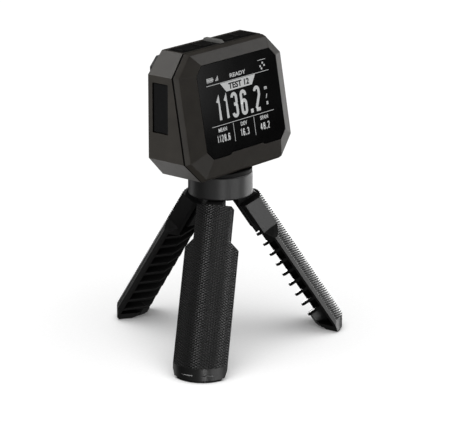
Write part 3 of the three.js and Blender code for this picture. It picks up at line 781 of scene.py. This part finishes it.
# ---------------------------------------------------------------- rear case
def rear_case():
    shell = prism_along_y("rear_case", octagon(CASE), SEAM_Y - 4, REAR_Y)
    hollow = {"half": HEAD_W / 2 - WALL, "low": WALL, "high": HEAD_H - TOP_WALL, "corner": CORNER - 1.3}
    cut(shell, prism_along_y("hollow", octagon(hollow), SEAM_Y - 10, REAR_Y - 2))
    x0 = -HEAD_W / 2
    join(
        shell,
        rod("boss", BOSS_R, 0.5, BOSS_TOP),
        box("pocket_box", x0 + 1, x0 + POCKET["depth"] + 1.7, -2.2, REAR_Y - 1,
            POCKET["z0"] - 1.6, POCKET["z1"] + 1.6),
    )
    front = moved(box("front", -60, 60, -20, 90, -SEAM_GROOVE, 60), FACE_TO_HEAD)
    mouth = rounded(POCKET["y0"], POCKET["y1"], POCKET["z0"], POCKET["z1"], 0.5)
    recess = rounded(-KEYPAD["half"], KEYPAD["half"], KEYPAD["y0"], KEYPAD["y1"], 0.9)
    tools = [
        front,
        rod("thread_hole", THREAD_R, -1, THREAD_TOP, 48),
        prism_along_x("pocket", mouth, x0 - 1, x0 + POCKET["depth"]),
        prism_along_x("port", rounded(*PORT), x0, x0 + 8),
        prism_along_y("aperture", rounded(*APERTURE), REAR_Y - 4, REAR_Y + 1),
        prism("keypad_recess", recess, HEAD_H - KEYPAD["thick"] - GAP, HEAD_H + 1),
    ]
    for x, z in CASE_SCREWS:
        shift = Matrix.Translation((x, 0, z))
        tools.append(moved(rod("screw_recess", 2.3, REAR_Y - 1.6, REAR_Y + 1), shift @ ALONG_Y))
    cut(shell, *tools)

    def share(point):
        on_side = abs(point.x) > HEAD_W / 2 - CORNER + 0.01 or point.z < 0.01 or point.z > HEAD_H - 0.01
        in_pocket = point.x < x0 + POCKET["depth"] + 0.1 and POCKET["z0"] - 1 < point.z < POCKET["z1"] + 1
        on_top = abs(point.x) < KEYPAD["half"] + 0.5 and KEYPAD["y0"] - 0.5 < point.y < KEYPAD["y1"] + 0.5
        if in_pocket and POCKET["y0"] - 0.5 < point.y < POCKET["y1"] + 0.5:
            return 0.35
        if point.z > HEAD_H - 2 and on_top:
            return 0.25
        return 1 if on_side else 0.3

    soften(shell, 0.35, 25, 3, share)
    place(shell, HEAD, "head", "housing", "case", "rear_housing")


def port_flap():
    x0 = -HEAD_W / 2 + COVER_OUT
    outline = rounded(POCKET["y0"] + GAP, POCKET["y1"] - GAP, POCKET["z0"] + GAP, POCKET["z1"] - GAP, 0.5)
    flap = prism_along_x("port_flap", outline, x0, x0 + COVER_THICK)
    soften(flap, 0.3, 25, 3)
    place(flap, HEAD, "port_cover", "rubber", "flap", "port_cover")


def radar_window():
    def ring(inset, depth):
        return [(x, REAR_Y + GAP + depth, z) for x, z in octagon(WINDOW, inset)]

    shell = loft("radar_cover", [
        ring(1.8, 0), ring(0, 0), ring(0.2, WINDOW_H - 0.8), ring(1.4, WINDOW_H), ring(2.4, WINDOW_H),
        ring(2.4, WINDOW_H - 1.8),
    ])
    cut(shell, loft("window_hollow", [ring(1.8, -1), ring(1.8, 0.1), ring(2.4, WINDOW_H - 1.8)]))
    soften(shell, 0.5, 14, 3)
    place(shell, HEAD, "head", "radome", "radome", "radar_window")


def screw_head(index, x, z):
    profile = [(1.0, -6), (1.0, -1.4), (1.9, -1.3), (1.9, -0.45), (1.72, -0.26), (1.4, -0.2)]
    screw = turned(f"case_screw_head_{index}", profile, 40)
    cut(screw, rod("socket", 0.95, -0.9, 1, 6))
    soften(screw, 0.06, 50, 2)
    matrix = HEAD @ Matrix.Translation((x, REAR_Y, z)) @ ALONG_Y
    place(screw, matrix, "head", "steel", "steel", f"case_screw_{index}")


# ---------------------------------------------------------------- keypad
def keypad():
    z0 = HEAD_H - KEYPAD["thick"]
    inner = GAP * 0.4
    outline = rounded(-KEYPAD["half"] + inner, KEYPAD["half"] - inner,
                      KEYPAD["y0"] + inner, KEYPAD["y1"] - inner, 0.8)
    plate = prism("keypad_plate", outline, z0, HEAD_H)
    gap = GAP * 0.8
    tools = [
        prism("window", rounded(x - width / 2 - gap, x + width / 2 + gap,
                                BUTTON_Y0 - gap, BUTTON_Y1 + gap, 1.1), z0 - 1, HEAD_H + 1)
        for x, width in BUTTONS
    ]
    tools.append(prism("slot", rounded(-RIB["half"], RIB["half"], RIB_SLOT["y0"], RIB_SLOT["y1"], 0.4),
                       z0 - 1, HEAD_H + 1))
    cut(plate, *tools)
    soften(plate, 0.14, 40, 2)
    place(plate, HEAD, "head", "keypad", "keypad", "keypad_panel")


def key(index, x, width):
    """A key with a softly dished top."""
    low = HEAD_H - 0.6
    high = HEAD_H + BUTTON_PROUD
    half = width / 2

    def ring(inset, z):
        return [(px, py, z) for px, py in rounded(x - half + inset, x + half - inset, BUTTON_Y0 + inset,
                                                  BUTTON_Y1 - inset, 1.1 - inset * 0.6, 5)]

    rings = [ring(0, low), ring(0, high - 0.42), ring(0.1, high - 0.2), ring(0.26, high - 0.05),
             ring(0.45, high), ring(0.8, high), ring(1.4, high - 0.08)]
    cap = loft(f"key_{index}", rings)
    place(cap, HEAD, f"button_{index}", "rubber", "button", f"button_{index}")


def sight_rib():
    low = HEAD_H + 0.05
    high = HEAD_H + RIB["height"]
    side = [(RIB["y0"], low), (RIB["y1"], low), (RIB["y1"], low + 0.5), (RIB["y1"] - 0.5, high),
            (RIB["y0"] + 1.6, high), (RIB["y0"], low + 0.4)]
    blade = prism_along_x("sight_blade", side, -RIB["half"], RIB["half"])
    join(blade, box("root", -0.9, 0.9, RIB_SLOT["y0"] + GAP, RIB_SLOT["y1"] - GAP, HEAD_H - 1, low + 0.1))
    soften(blade, 0.55, 20, 4)
    place(blade, HEAD, "head", "sight", "sight", "sighting_rib")


# ---------------------------------------------------------------- collar and hub
def fillet(r, z, radius, start, steps=5):
    """A quarter turn of profile points about (r, z), from a start angle in degrees, counter-clockwise."""
    turns = [math.radians(start + 90 * i / steps) for i in range(steps + 1)]
    return [(r + radius * math.cos(a), z + radius * math.sin(a)) for a in turns]


def collar():
    ceiling = COLLAR_Z1 - COLLAR_DECK
    profile = [
        (COLLAR_BORE, COLLAR_Z0), (COLLAR_R - 0.9, COLLAR_Z0),
        *fillet(COLLAR_R - 0.8, COLLAR_Z0 + 0.8, 0.8, 270),
        *fillet(COLLAR_R - 0.6, COLLAR_Z1 - 0.6, 0.6, 0),
        (STUD_HOLE, COLLAR_Z1), (STUD_HOLE, ceiling), (COLLAR_BORE, ceiling),
    ]
    ring = turned("collar_ring", profile, 128, hollow=True)
    place(ring, AXIS, "tripod_hub", "collar", "collar", "collar")


def rubber_pad():
    low, high = box_mm("top_pad")
    outer = (high.x - low.x) / 2
    z0 = low.z - GAP + 0.05
    z1 = high.z
    profile = [
        (STUD_HOLE, z0), *fillet(outer - 0.3, z0 + 0.3, 0.3, 270),
        *fillet(outer - 0.3, z1 - 0.3, 0.3, 0), (STUD_HOLE, z1),
    ]
    ring = turned("rubber_washer", profile, 96, hollow=True)
    place(ring, AXIS, "tripod_hub", "rubber", "rubber", "top_pad")


def hub_core():
    low, high = box_mm("hub")
    radius = (high.y - low.y) / 2
    body = rod("hub_core", radius, low.z, high.z, 96)
    reach = PIVOT_R - EYE_R - 0.5
    tools = [rod("stud_seat", 5.9, high.z - 2, high.z + 2, 48)]
    for leg in LEGS:
        turn = AXIS.inverted() @ sector_frame(leg)
        tools.append(moved(box("slot", -SLOT_HALF, SLOT_HALF, reach, 20, 60, SLOT_TOP), turn))
        bore = Matrix.Translation((0, PIVOT_R, PIVOT_Z)) @ ALONG_X
        tools.append(moved(rod("bore", PIN_R + 0.1, -14, 14, 24), turn @ bore))
    for turn in (0, 120, 240):
        spot = about_z(turn) @ Matrix.Translation((0, -HUB_SCREWS["radius"], 0))
        tools.append(moved(rod("screw_hole", HUB_SCREWS["hole"], HUB_SCREWS["low"], 90, 20), spot))
    cut(body, *tools)
    soften(body, 0.25, 35, 2)
    place(body, AXIS, "tripod_hub", "hub", "hub", "hub")


# ---------------------------------------------------------------- legs
ARC_STEPS = 24


def wedge(radius, tip_radius=TIP_R, inset=SIDE_GAP):
    """The leg's sector between a radius and a flat tip at a distance from the grip's axis."""
    tip = (tip_radius - inset * math.sin(SECTOR)) / math.cos(SECTOR)
    return [
        *arc(radius, -EDGE_ANGLE, EDGE_ANGLE, ARC_STEPS),
        side_point(1, radius - 1, inset), side_point(1, tip, inset),
        side_point(-1, tip, inset), side_point(-1, radius - 1, inset),
    ]


def skin_section():
    """The curved outer wall with its turned-in lips, a little larger than the envelope that trims it."""
    return [
        *arc(LEG_R + 0.5, -SECTOR, SECTOR, ARC_STEPS),
        side_point(1, LIP_R, -0.5), side_point(1, LIP_R, SIDE_GAP),
        *arc(LEG_R - SKIN, EDGE_ANGLE, -EDGE_ANGLE, ARC_STEPS),
        side_point(-1, LIP_R, SIDE_GAP), side_point(-1, LIP_R, -0.5),
    ]


def grip_envelope():
    """The space inside the leg's outer face: a sector whose round face stands in diamond pyramids."""
    columns = 2 * round(LEG_R * EDGE_ANGLE / (KNURL_W / 2))
    rows = round(-LEG_BOTTOM / (KNURL_H / 2))
    base = [side_point(1, LEG_R - 1, SIDE_GAP), side_point(1, 1.5, SIDE_GAP),
            side_point(-1, 1.5, SIDE_GAP), side_point(-1, LEG_R - 1, SIDE_GAP)]
    bm = bmesh.new()
    rings = []
    for row in range(rows + 1):
        z = -row * KNURL_H / 2
        ring = []
        for column in range(columns + 1):
            depth = KNURL_DEPTH if (row + column) % 2 else 0
            if column in (0, columns):
                depth = KNURL_DEPTH / 2
            angle = EDGE_ANGLE * (2 * column / columns - 1)
            ring.append(bm.verts.new((*polar(LEG_R - depth, angle), z)))
        ring += [bm.verts.new((x, y, z)) for x, y in base]
        rings.append(ring)
    for row, (upper, lower) in enumerate(zip(rings, rings[1:])):
        for i in range(len(upper)):
            j = (i + 1) % len(upper)
            if i >= columns:
                bm.faces.new((upper[i], upper[j], lower[j], lower[i]))
            elif (row + i) % 2:
                bm.faces.new((upper[i], upper[j], lower[j]))
                bm.faces.new((upper[i], lower[j], lower[i]))
            else:
                bm.faces.new((upper[i], upper[j], lower[i]))
                bm.faces.new((upper[j], lower[j], lower[i]))
    bm.faces.new(rings[0])
    bm.faces.new(rings[-1])
    return new_piece("envelope", bm)


def toe_limit():
    """The space behind the upright toe: the grip's section swept straight down with the leg spread."""
    ridge = [side_point(-1, LEG_R - 1, SIDE_GAP), *arc(LEG_R, -EDGE_ANGLE, EDGE_ANGLE, 32),
             side_point(1, LEG_R - 1, SIDE_GAP)]
    crown = LEG_R - PIVOT_R
    front = [(x, crown - (crown - y) / math.cos(SPREAD) ** 2) for x, y in ridge]
    left, right = front[0][0] - 6, front[-1][0] + 6
    back = front[0][1] - 6
    outline = [(left, -60), (left, back), *front, (right, back), (right, -60)]
    limit = prism("toe_limit", outline, -60, 110)
    shear = Matrix.Identity(4)
    shear[1][2] = math.tan(SPREAD)
    return moved(limit, Matrix.Translation((0, 0, RIDGE)) @ shear)


def floor_slab(low, high):
    slab_piece = box("floor_slab", -40, 40, -60, 120, low - PIVOT_Z, high - PIVOT_Z)
    return moved(slab_piece, Matrix.Rotation(-SPREAD, 4, "X"))


def leg_rib(index):
    """An inclined stiffening rib across the hollow leg."""
    middle = RIB_FIRST - index * RIB_PITCH
    outline = wedge(LEG_R - 0.8, TIP_R - index * TIP_STEP, SIDE_GAP + GAP)
    plate = prism("rib", outline, middle - RIB_THICK / 2, middle + RIB_THICK / 2)
    slope = Matrix.Identity(4)
    slope[2][0] = RIB_SLOPE
    return soften(moved(plate, slope), 0.2, 30, 2)


def silhouette(spare=0.0):
    """The leg's outline across its width: narrow above, flared below."""
    half = UPPER_HALF + spare
    return prism_along_y("silhouette", [
        (-half, 10), (-half, FLARE_TOP), (-LEG_HALF, FLARE_LOW), (-LEG_HALF, LEG_BOTTOM - 1),
        (LEG_HALF, LEG_BOTTOM - 1), (LEG_HALF, FLARE_LOW), (half, FLARE_TOP), (half, 10),
    ], -30, 30)


def upper_block():
    """The boxed upper part, which flares into the skin at its lower end and is open towards the inside."""
    outer = LEG_R - PIVOT_R
    profile = [
        (outer + 1, UPPER_TOP - 1.3), (UPPER_IN, UPPER_TOP + 0.2),
        (UPPER_IN, FLARE_LOW), (outer + 1, FLARE_LOW),
    ]
    block = prism_along_x("block", profile, -LEG_HALF, LEG_HALF)
    keep(block, prism("wedge", wedge(LEG_R + 0.5), FLARE_LOW - 2, 0), silhouette())
    inside = UPPER_HALF - UPPER_WALL
    cut(block, box("inside", -inside, inside, -20, outer - SKIN - 1, FLARE_LOW - 1, UPPER_TOP - UPPER_WALL))
    return soften(block, 0.22, 30, 2)


def hinge_link():
    """The eye about the pin and the web that carries it, down the middle of the leg's upper part."""
    turns = [math.pi * i / 20 for i in range(21)]
    round_end = [(EYE_R * math.cos(a), EYE_R * math.sin(a)) for a in turns]
    outline = [
        *round_end, (-EYE_R, -3.4), (LINK_IN, -6.4),
        (LINK_IN, LINK_END + 1.6), (LINK_IN + 0.5, LINK_END + 0.5), (LINK_IN + 1.6, LINK_END),
        (5.5, LINK_END), (6.2, UPPER_TOP - 3), (5.9, -7), (5, -6), (2.7, -5),
    ]
    link = prism_along_x("link", outline, -EYE_HALF, EYE_HALF)
    pockets = [box("pocket", side * (EYE_HALF - 0.9), side * (EYE_HALF + 1), LINK_IN + 0.9, 2, z - 4.6, z)
               for side in (-1, 1) for z in (-8.6, -14.4)]
    cut(link, moved(rod("pin_hole", PIN_R + 0.2, -10, 10, 32), ALONG_X), *pockets)
    return soften(link, 0.2, 30, 2)


def foot_peg(name, radius, z0, z1):
    """The upright peg that holds a foot's pad, or the hole for it."""
    peg = rod(name, radius, z0, z1, 24)
    return moved(peg, Matrix.Rotation(-SPREAD, 4, "X") @ Matrix.Translation((0, FOOT_PEG_Y, 0)))


def leg_mesh():
    """The leg's shape, shared by the three legs, in a leg's frame."""
    body = prism("leg", skin_section(), LEG_BOTTOM + 0.5, FLARE_TOP + 1)
    join(body, *[leg_rib(i) for i in range(RIB_COUNT)])
    toe = prism("toe", wedge(LEG_R, TOE_TIP_R), LEG_BOTTOM + 0.5, RIDGE + 14)
    keep(toe, floor_slab(TOE_Z - 1, TOE_Z + TOE_THICK))
    last_rib = RIB_FIRST - (RIB_COUNT - 1) * RIB_PITCH
    heel = box("heel", -HEEL_HALF, HEEL_HALF, HEEL_Y, LEG_R - PIVOT_R - 1, LEG_BOTTOM, last_rib)
    join(body, toe, heel, upper_block())
    keep(body, silhouette(0.03), toe_limit(), floor_slab(TOE_Z, 120), grip_envelope())
    sole = TOE_Z - PIVOT_Z
    return cut(body, foot_peg("peg_hole", PEG_HOLE_R, sole - 1, sole + TOE_THICK + 1))


def foot_mesh():
    shrink = Matrix.Translation((0, -0.4, 0)) @ Matrix.Diagonal((0.86, 0.86, 1, 1))
    pad = moved(prism("pad", wedge(LEG_R - 0.5), -120, 20), shrink)
    keep(pad, moved(toe_limit(), Matrix.Translation((0, -1.2, 0))), floor_slab(0, FOOT_THICK))
    soften(pad, 0.22, 30, 2)
    return join(pad, foot_peg("peg", PEG_R, -PIVOT_Z + 0.3, TOE_Z - PIVOT_Z + TOE_THICK - 0.4))


def copy_of(source, name):
    piece = bpy.data.objects.new(name, source.data.copy())
    scene.collection.objects.link(piece)
    return piece


def legs():
    leg_shape = leg_mesh()
    link_shape = hinge_link()
    foot_shape = foot_mesh()
    for leg in LEGS:
        matrix = leg_frame(leg)
        body = f"{leg}_leg"
        place(copy_of(leg_shape, f"{leg}_grip_leg"), matrix, body, "leg", "leg", f"{leg}_leg", sharp=9)
        place(copy_of(link_shape, f"{leg}_hinge_link"), matrix, body, "leg", "hub")
        foot = copy_of(foot_shape, f"{leg}_rubber_foot")
        place(foot, matrix, body, "rubber", "rubber", f"{leg}_foot_pad")
    for shape in (leg_shape, link_shape, foot_shape):
        bpy.data.meshes.remove(shape.data)


# ---------------------------------------------------------------- what stays of the CAD
CARRIED = {
    "display_panel": "panel", "radar_board": "board", "antenna_plate": "brass", "radar_shield": "foil",
    "main_board": "board", "battery": "cell", "usb_socket": "steel", "thread_insert": "brass",
    "switch_board": "board", "mounting_stud": "steel",
}
CARRIED.update({f"dome_switch_{i}": "steel" for i in range(1, 5)})
CARRIED.update({f"hub_screw_{i}": "steel" for i in range(1, 4)})
CARRIED.update({f"{leg}_{part}": "steel" for leg in LEGS for part in ("pivot_pin", "washer_a", "washer_b")})


def finish_carried():
    for node, material in CARRIED.items():
        mesh = frame["nodes"][node].data
        mesh.materials.clear()
        mesh.materials.append(MATERIALS[material])


# ---------------------------------------------------------------- studio
def direction(azimuth, elevation):
    """The unit vector towards a place seen at an azimuth (0 is -Y, 90 is +X) and an elevation."""
    a = math.radians(azimuth)
    e = math.radians(elevation)
    return Vector((math.sin(a) * math.cos(e), -math.cos(a) * math.cos(e), math.sin(e)))


def stand(name, data, position, target):
    """Puts a camera or a lamp at a position, facing a target."""
    item = bpy.data.objects.new(name, data)
    scene.collection.objects.link(item)
    item.location = position
    item.rotation_mode = "QUATERNION"
    item.rotation_quaternion = (Vector(target) - item.location).to_track_quat("-Z", "Y")
    return item


TARGET = Vector((0, AXIS_Y, 80)) * MM
CAMERA_AZIMUTH = -50.1
CAMERA_ELEVATION = 15.9
CAMERA_DISTANCE = 1.1742
CAMERA_LENS = 194.7
CAMERA_SHIFT = (0.0102, -0.0653)


def camera():
    data = bpy.data.cameras.new("camera")
    data.lens = CAMERA_LENS
    data.sensor_width = 36
    data.shift_x, data.shift_y = CAMERA_SHIFT
    data.clip_start = 0.05
    data.clip_end = 60
    position = TARGET + direction(CAMERA_AZIMUTH, CAMERA_ELEVATION) * CAMERA_DISTANCE
    scene.camera = stand("camera", data, position, TARGET)


def softbox(name, azimuth, elevation, distance, width, height, power, only):
    """A soft area light that faces the product. only is the one collection that it lights."""
    data = bpy.data.lights.new(name, "AREA")
    data.shape = "RECTANGLE"
    data.size = width
    data.size_y = height
    data.energy = power
    lamp = stand(name, data, TARGET + direction(azimuth, elevation) * distance, TARGET)
    lamp.light_linking.receiver_collection = only


def floor():
    """A pale floor that only the camera sees, so that it neither lights nor mirrors in the product."""
    bm = bmesh.new()
    bmesh.ops.create_grid(bm, x_segments=8, y_segments=8, size=9)
    plane = new_piece("studio_floor", bm)
    recipe = Recipe("studio_paper", 0.9, specular=0.0)
    fibres = recipe.noise(1.5, 2)
    shade = recipe.color((0.80, 0.80, 0.80), (0.82, 0.82, 0.82), recipe.spread(fibres, 0, 1))
    recipe.link(shade, recipe.shader.inputs["Emission Color"])
    recipe.shader.inputs["Emission Strength"].default_value = 0.16
    plane.data.materials.append(recipe.material)
    plane.visible_diffuse = False
    plane.visible_glossy = False
    plane.visible_shadow = False
    return plane


ROOM = 0.03                       # the room's own light in the product's reflections
SUN_ELEVATION = 77
SUN_SPREAD = math.radians(75)


def world():
    """A dim grey room around the lamps, and plain white where the view passes the floor's edge."""
    sky = bpy.data.worlds.new("studio")
    scene.world = sky
    sky.use_nodes = True
    nodes = sky.node_tree.nodes
    links = sky.node_tree.links
    path = nodes.new("ShaderNodeLightPath")
    mix = nodes.new("ShaderNodeMixShader")
    links.new(path.outputs["Is Camera Ray"], mix.inputs["Fac"])
    backgrounds = [(nodes["Background"], ROOM), (nodes.new("ShaderNodeBackground"), 1.0)]
    for socket, (background, strength) in enumerate(backgrounds, 1):
        background.inputs["Color"].default_value = (1, 1, 1, 1)
        background.inputs["Strength"].default_value = strength
        links.new(background.outputs["Background"], mix.inputs[socket])
    links.new(mix.outputs["Shader"], nodes["World Output"].inputs["Surface"])


def skylight(only):
    """Even light from above with wide soft shadows, for the floor."""
    data = bpy.data.lights.new("skylight", "SUN")
    data.energy = 3.6
    data.angle = SUN_SPREAD
    lamp = stand("skylight", data, direction(CAMERA_AZIMUTH, SUN_ELEVATION) * 1.5, (0, 0, 0))
    lamp.light_linking.receiver_collection = only


def group_of(name, objects):
    group = bpy.data.collections.new(name)
    for item in objects:
        group.objects.link(item)
    return group


# name, azimuth, elevation, distance, width, height and power of each lamp, by what it lights
LAMPS = {
    "product": [("back", -156, 47.6, 1.1, 0.5, 0.5, 2.7)],
    "head": [
        ("head_left", -100, 0, 1.3, 0.8, 1.2, 4.4),
        ("head_right", 88, -8, 1.2, 0.7, 0.7, 2.4),
        ("head_high_right", 70, 40, 1.2, 0.4, 0.4, 1.4),
        ("head_front", 8, 24, 1.3, 0.6, 0.4, 1.0),
        ("head_low_left", 12, -34, 1.2, 0.3, 0.3, 1.1),
        ("head_under_back", 156, -47.6, 1.0, 0.5, 0.5, 0.8),
        ("display_glow", 36, 18, 0.8, 0.3, 0.46, 0.26),
    ],
    "tripod": [
        ("tripod_left_rear", -172, -10, 1.1, 0.4, 0.6, 0.8),
        ("tripod_left", -82, 6, 1.3, 1.0, 0.9, 2.6),
        ("tripod_low_left", -42, -16, 1.0, 0.2, 0.24, 1.6),
        ("tripod_low_front", 2, -16, 1.0, 0.7, 0.3, 2.4),
        ("tripod_low_right", 60, -18, 1.0, 0.5, 0.2, 1.7),
        ("tripod_right", 100, 6, 1.2, 1.2, 0.9, 18),
        ("tripod_far_right", 126, -4, 1.2, 0.5, 0.5, 5),
        ("tripod_high_right", 62, 42, 1.2, 0.4, 0.4, 3.0),
        ("tripod_high_front", 26, 44, 1.2, 0.35, 0.3, 1.6),
        ("tripod_streak", -48, 51, 1.2, 0.1, 0.5, 1.3),
    ],
}


def studio():
    camera()
    world()
    lit = {
        "product": group_of("product", [item for item in scene.objects if item.type == "MESH"]),
        "head": group_of("head_pieces", PLACED["head"]),
        "tripod": group_of("tripod_pieces", PLACED["tripod"]),
    }
    skylight(group_of("paper", [floor()]))
    for group, lamps in LAMPS.items():
        for lamp in lamps:
            softbox(*lamp, lit[group])


# ---------------------------------------------------------------- assembly
bezel()
cover_lens()
gasket()
readout()
rear_case()
port_flap()
radar_window()
for index, (screw_x, screw_z) in enumerate(CASE_SCREWS, 1):
    screw_head(index, screw_x, screw_z)
keypad()
for index, (key_x, key_width) in enumerate(BUTTONS, 1):
    key(index, key_x, key_width)
sight_rib()
collar()
rubber_pad()
hub_core()
legs()
finish_carried()
studio()
